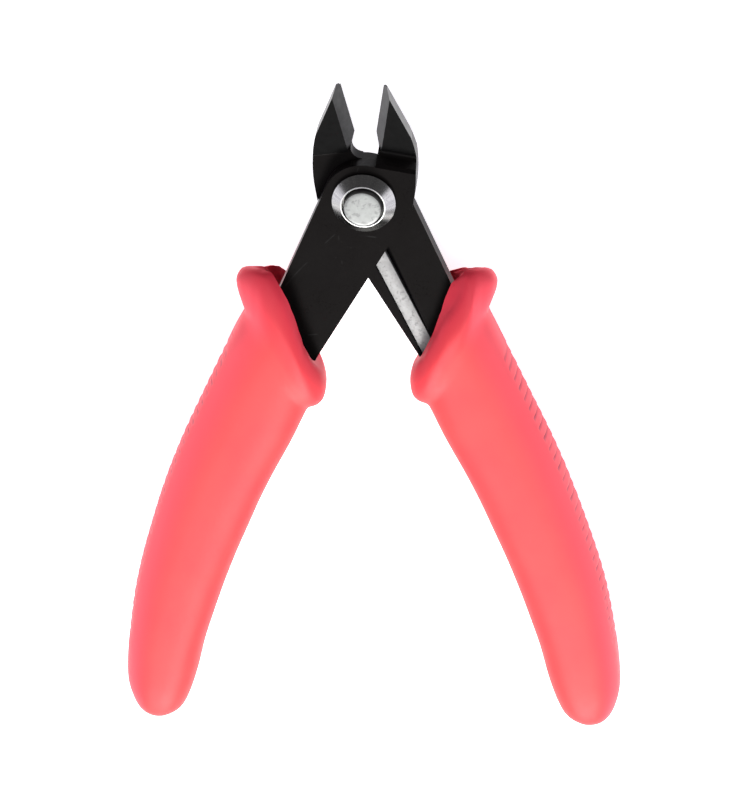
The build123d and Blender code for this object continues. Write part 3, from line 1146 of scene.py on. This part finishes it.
@dataclass
class SteelHalves:
    """The two plier halves, which keep their CAD shape and get their steel."""

    relief: GroundFacet = GroundFacet((-0.902, -0.154, 0.401), (1.35, 14.0, 2.303), 0.05, 0.27)
    flank: GroundFacet = GroundFacet((0.873, 0.484, 0.052), (4.987, 13.335, 2.073), 0.11, 0.58)
    jaw_face: GroundFacet = GroundFacet(
        (0.0, -0.358, 0.934), (3.32, 12.483, 1.721), 0.005, 0.0, 0.75
    )

    def build(self, groups: EffectGroups) -> None:
        """Dresses both halves.

        Args:
            groups: the effects that the steel draws on.
        """
        facets = (self.relief, self.flank, self.jaw_face)
        for node, side in (("front_half", Side.FRONT), ("rear_half", Side.REAR)):
            half = HalfFrame(side)
            steel = BlackenedSteel(groups, half=half, facets=facets)
            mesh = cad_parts[node].data
            mesh.materials.clear()
            mesh.materials.append(steel.build(f"blackened_steel_{node}"))


# ---------------------------------------------------------------- studio


@dataclass(frozen=True)
class SoftBox:
    """One soft light of the studio, aimed at the object's middle."""

    name: str
    azimuth: float
    elevation: float
    distance: float
    size: float
    power: float
    colour: Colour = (1.0, 1.0, 1.0)


@dataclass
class Studio:
    """Pale floor, soft lights and the camera."""

    target: Vector = field(default_factory=lambda: Vector((-0.21, -37.59, 4.1)) * MM)
    camera_place: Vector = field(default_factory=lambda: Vector((66.26, 344.01, 648.78)) * MM)
    picture_up: Vector = field(default_factory=lambda: Vector((-0.0349, 0.8616, -0.5064)))
    lens: float = 208.8
    sensor: float = 36.0
    clip_start: float = 0.01
    floor_size: float = 4.0
    floor_glow: float = 0.85
    floor_roughness: float = 0.9
    floor_mottle: float = 30.0
    floor_tones: tuple[Colour, Colour] = ((0.9, 0.9, 0.9), (0.92, 0.92, 0.92))
    world_light: float = 0.12
    fill: Colour = (1.0, 0.985, 1.02)
    boxes: Sequence[SoftBox] = (
        SoftBox("key", 180.0, 38.0, 0.9, 0.3, 10.6, (1.0, 0.99, 0.97)),
        SoftBox("overhead", 180.0, 88.0, 0.9, 0.4, 1.6),
        SoftBox("left", 258.0, 18.0, 0.9, 0.8, 4.2, (0.98, 0.97, 1.06)),
        SoftBox("right", 102.0, 18.0, 0.9, 0.8, 4.2, (0.98, 0.97, 1.06)),
    )

    def _floor(self) -> None:
        """A plain white floor under the object."""
        height = CAD_BOUNDS[0][2]
        Bench.clear()
        bpy.ops.mesh.primitive_plane_add(size=self.floor_size, location=(0.0, 0.0, height))
        floor = bpy.context.object
        floor.name = "studio_floor"
        bpy.ops.object.transform_apply(location=True, rotation=True, scale=True)
        material = bpy.data.materials.new("studio_floor")
        material.use_nodes = True
        hand = Nodes(material.node_tree)
        shader = material.node_tree.nodes["Principled BSDF"]
        spot = hand.add("ShaderNodeTexCoord").outputs["Object"]
        mottle = hand.noise(spot, self.floor_mottle, 2.0)
        tone = hand.mix(hand.ramp(mottle, 0.2, 0.8), *self.floor_tones)
        hand.fill(shader, Base_Color=tone, Roughness=self.floor_roughness)
        hand.fill(shader, Emission_Color=(*self.fill, 1.0), Emission_Strength=self.floor_glow)
        floor.data.materials.append(material)

    def _light(self, box: SoftBox) -> None:
        """Hangs one soft box.

        Args:
            box: the light, its angles in degrees clockwise from +y and up from the floor.
        """
        lamp = bpy.data.lights.new(box.name, "AREA")
        lamp.size = box.size
        lamp.energy = box.power
        lamp.color = box.colour
        turn, lift = math.radians(box.azimuth), math.radians(box.elevation)
        away = Vector(
            (math.sin(turn) * math.cos(lift), math.cos(turn) * math.cos(lift), math.sin(lift))
        )
        holder = bpy.data.objects.new(box.name, lamp)
        bpy.context.scene.collection.objects.link(holder)
        holder.location = self.target + away * box.distance
        holder.rotation_euler = (-away).to_track_quat("-Z", "Y").to_euler()

    def _world(self) -> None:
        """Even light from all around."""
        world = bpy.data.worlds.new("studio")
        world.use_nodes = True
        background = world.node_tree.nodes["Background"]
        background.inputs["Color"].default_value = (*self.fill, 1.0)
        background.inputs["Strength"].default_value = self.world_light
        bpy.context.scene.world = world

    def _camera(self) -> None:
        """The camera, looking down from beyond the jaws."""
        lens = bpy.data.cameras.new("camera")
        lens.lens = self.lens
        lens.sensor_width = self.sensor
        lens.clip_start = self.clip_start
        camera = bpy.data.objects.new("camera", lens)
        bpy.context.scene.collection.objects.link(camera)
        back = (self.camera_place - self.target).normalized()
        right = self.picture_up.cross(back).normalized()
        up = back.cross(right)
        turned = Matrix((right, up, back)).transposed().to_4x4()
        camera.matrix_world = Matrix.Translation(self.camera_place) @ turned
        bpy.context.scene.camera = camera

    def build(self) -> None:
        """Sets up everything around the object."""
        self._floor()
        for box in self.boxes:
            self._light(box)
        self._world()
        self._camera()
        bpy.context.scene.view_settings.view_transform = "Standard"


def main() -> None:
    """Builds the pliers and the studio around them."""
    logging.basicConfig(level=logging.INFO, format="%(message)s")
    Studio().build()
    groups = EffectGroups()
    SteelHalves().build(groups)
    pivot = Pivot().build(
        TurnedSteel(groups).build("turned_steel"),
        PlainSteel(
            groups,
            colour=(0.36, 0.372, 0.364),
            roughness=0.5,
            specks=Specks(1500.0, 0.2, 0.5, (0.16, 0.16, 0.16), 0.16),
            # the pin's side wall takes painted shade
            wall_shade=0.9,
        ).build("struck_steel"),
    )
    spring = ReturnSpring().build(PlainSteel(groups).build("spring_steel"))
    vinyl = CoralVinyl(groups).build("coral_vinyl")
    grips = [
        Grip(
            "left_grip_dipped",
            "left_grip",
            "front_body",
            HalfFrame(Side.FRONT),
            middle=1.25,
            outer_trim=((0.0, 0.0), (0.19, 0.0), (0.27, 0.25), (1.0, 0.25)),
        ).build(vinyl),
        Grip(
            "right_grip_dipped",
            "right_grip",
            "rear_body",
            HalfFrame(Side.REAR),
            middle=-1.25,
            outer_trim=(
                (0.0, 0.0), (0.19, -0.1), (0.27, -0.4), (0.55, -0.3), (0.75, 0.1), (1.0, 0.4),
            ),
            rim_bow=(
                (0.0, 0.0), (0.065, 1.8), (0.1, 1.95), (0.13, 1.8), (0.18, 1.3), (0.255, 0.8),
                (0.35, 0.65), (0.5, 0.65), (0.65, 0.15), (0.75, -0.05), (0.85, -0.3), (0.95, -0.15),
                (1.0, 0.0),
            ),
            rake=(
                (0.0, 0.5), (0.065, 0.5), (0.12, 0.38), (0.18, 0.2), (0.25, -0.03), (0.35, -0.16),
                (0.5, 0.05), (1.0, 0.17),
            ),
        ).build(vinyl),
    ]
    for piece in (*pivot, spring, *grips):
        LOG.info("%s: %d faces", piece.name, len(piece.data.polygons))


if __name__ == "__main__":
    main()
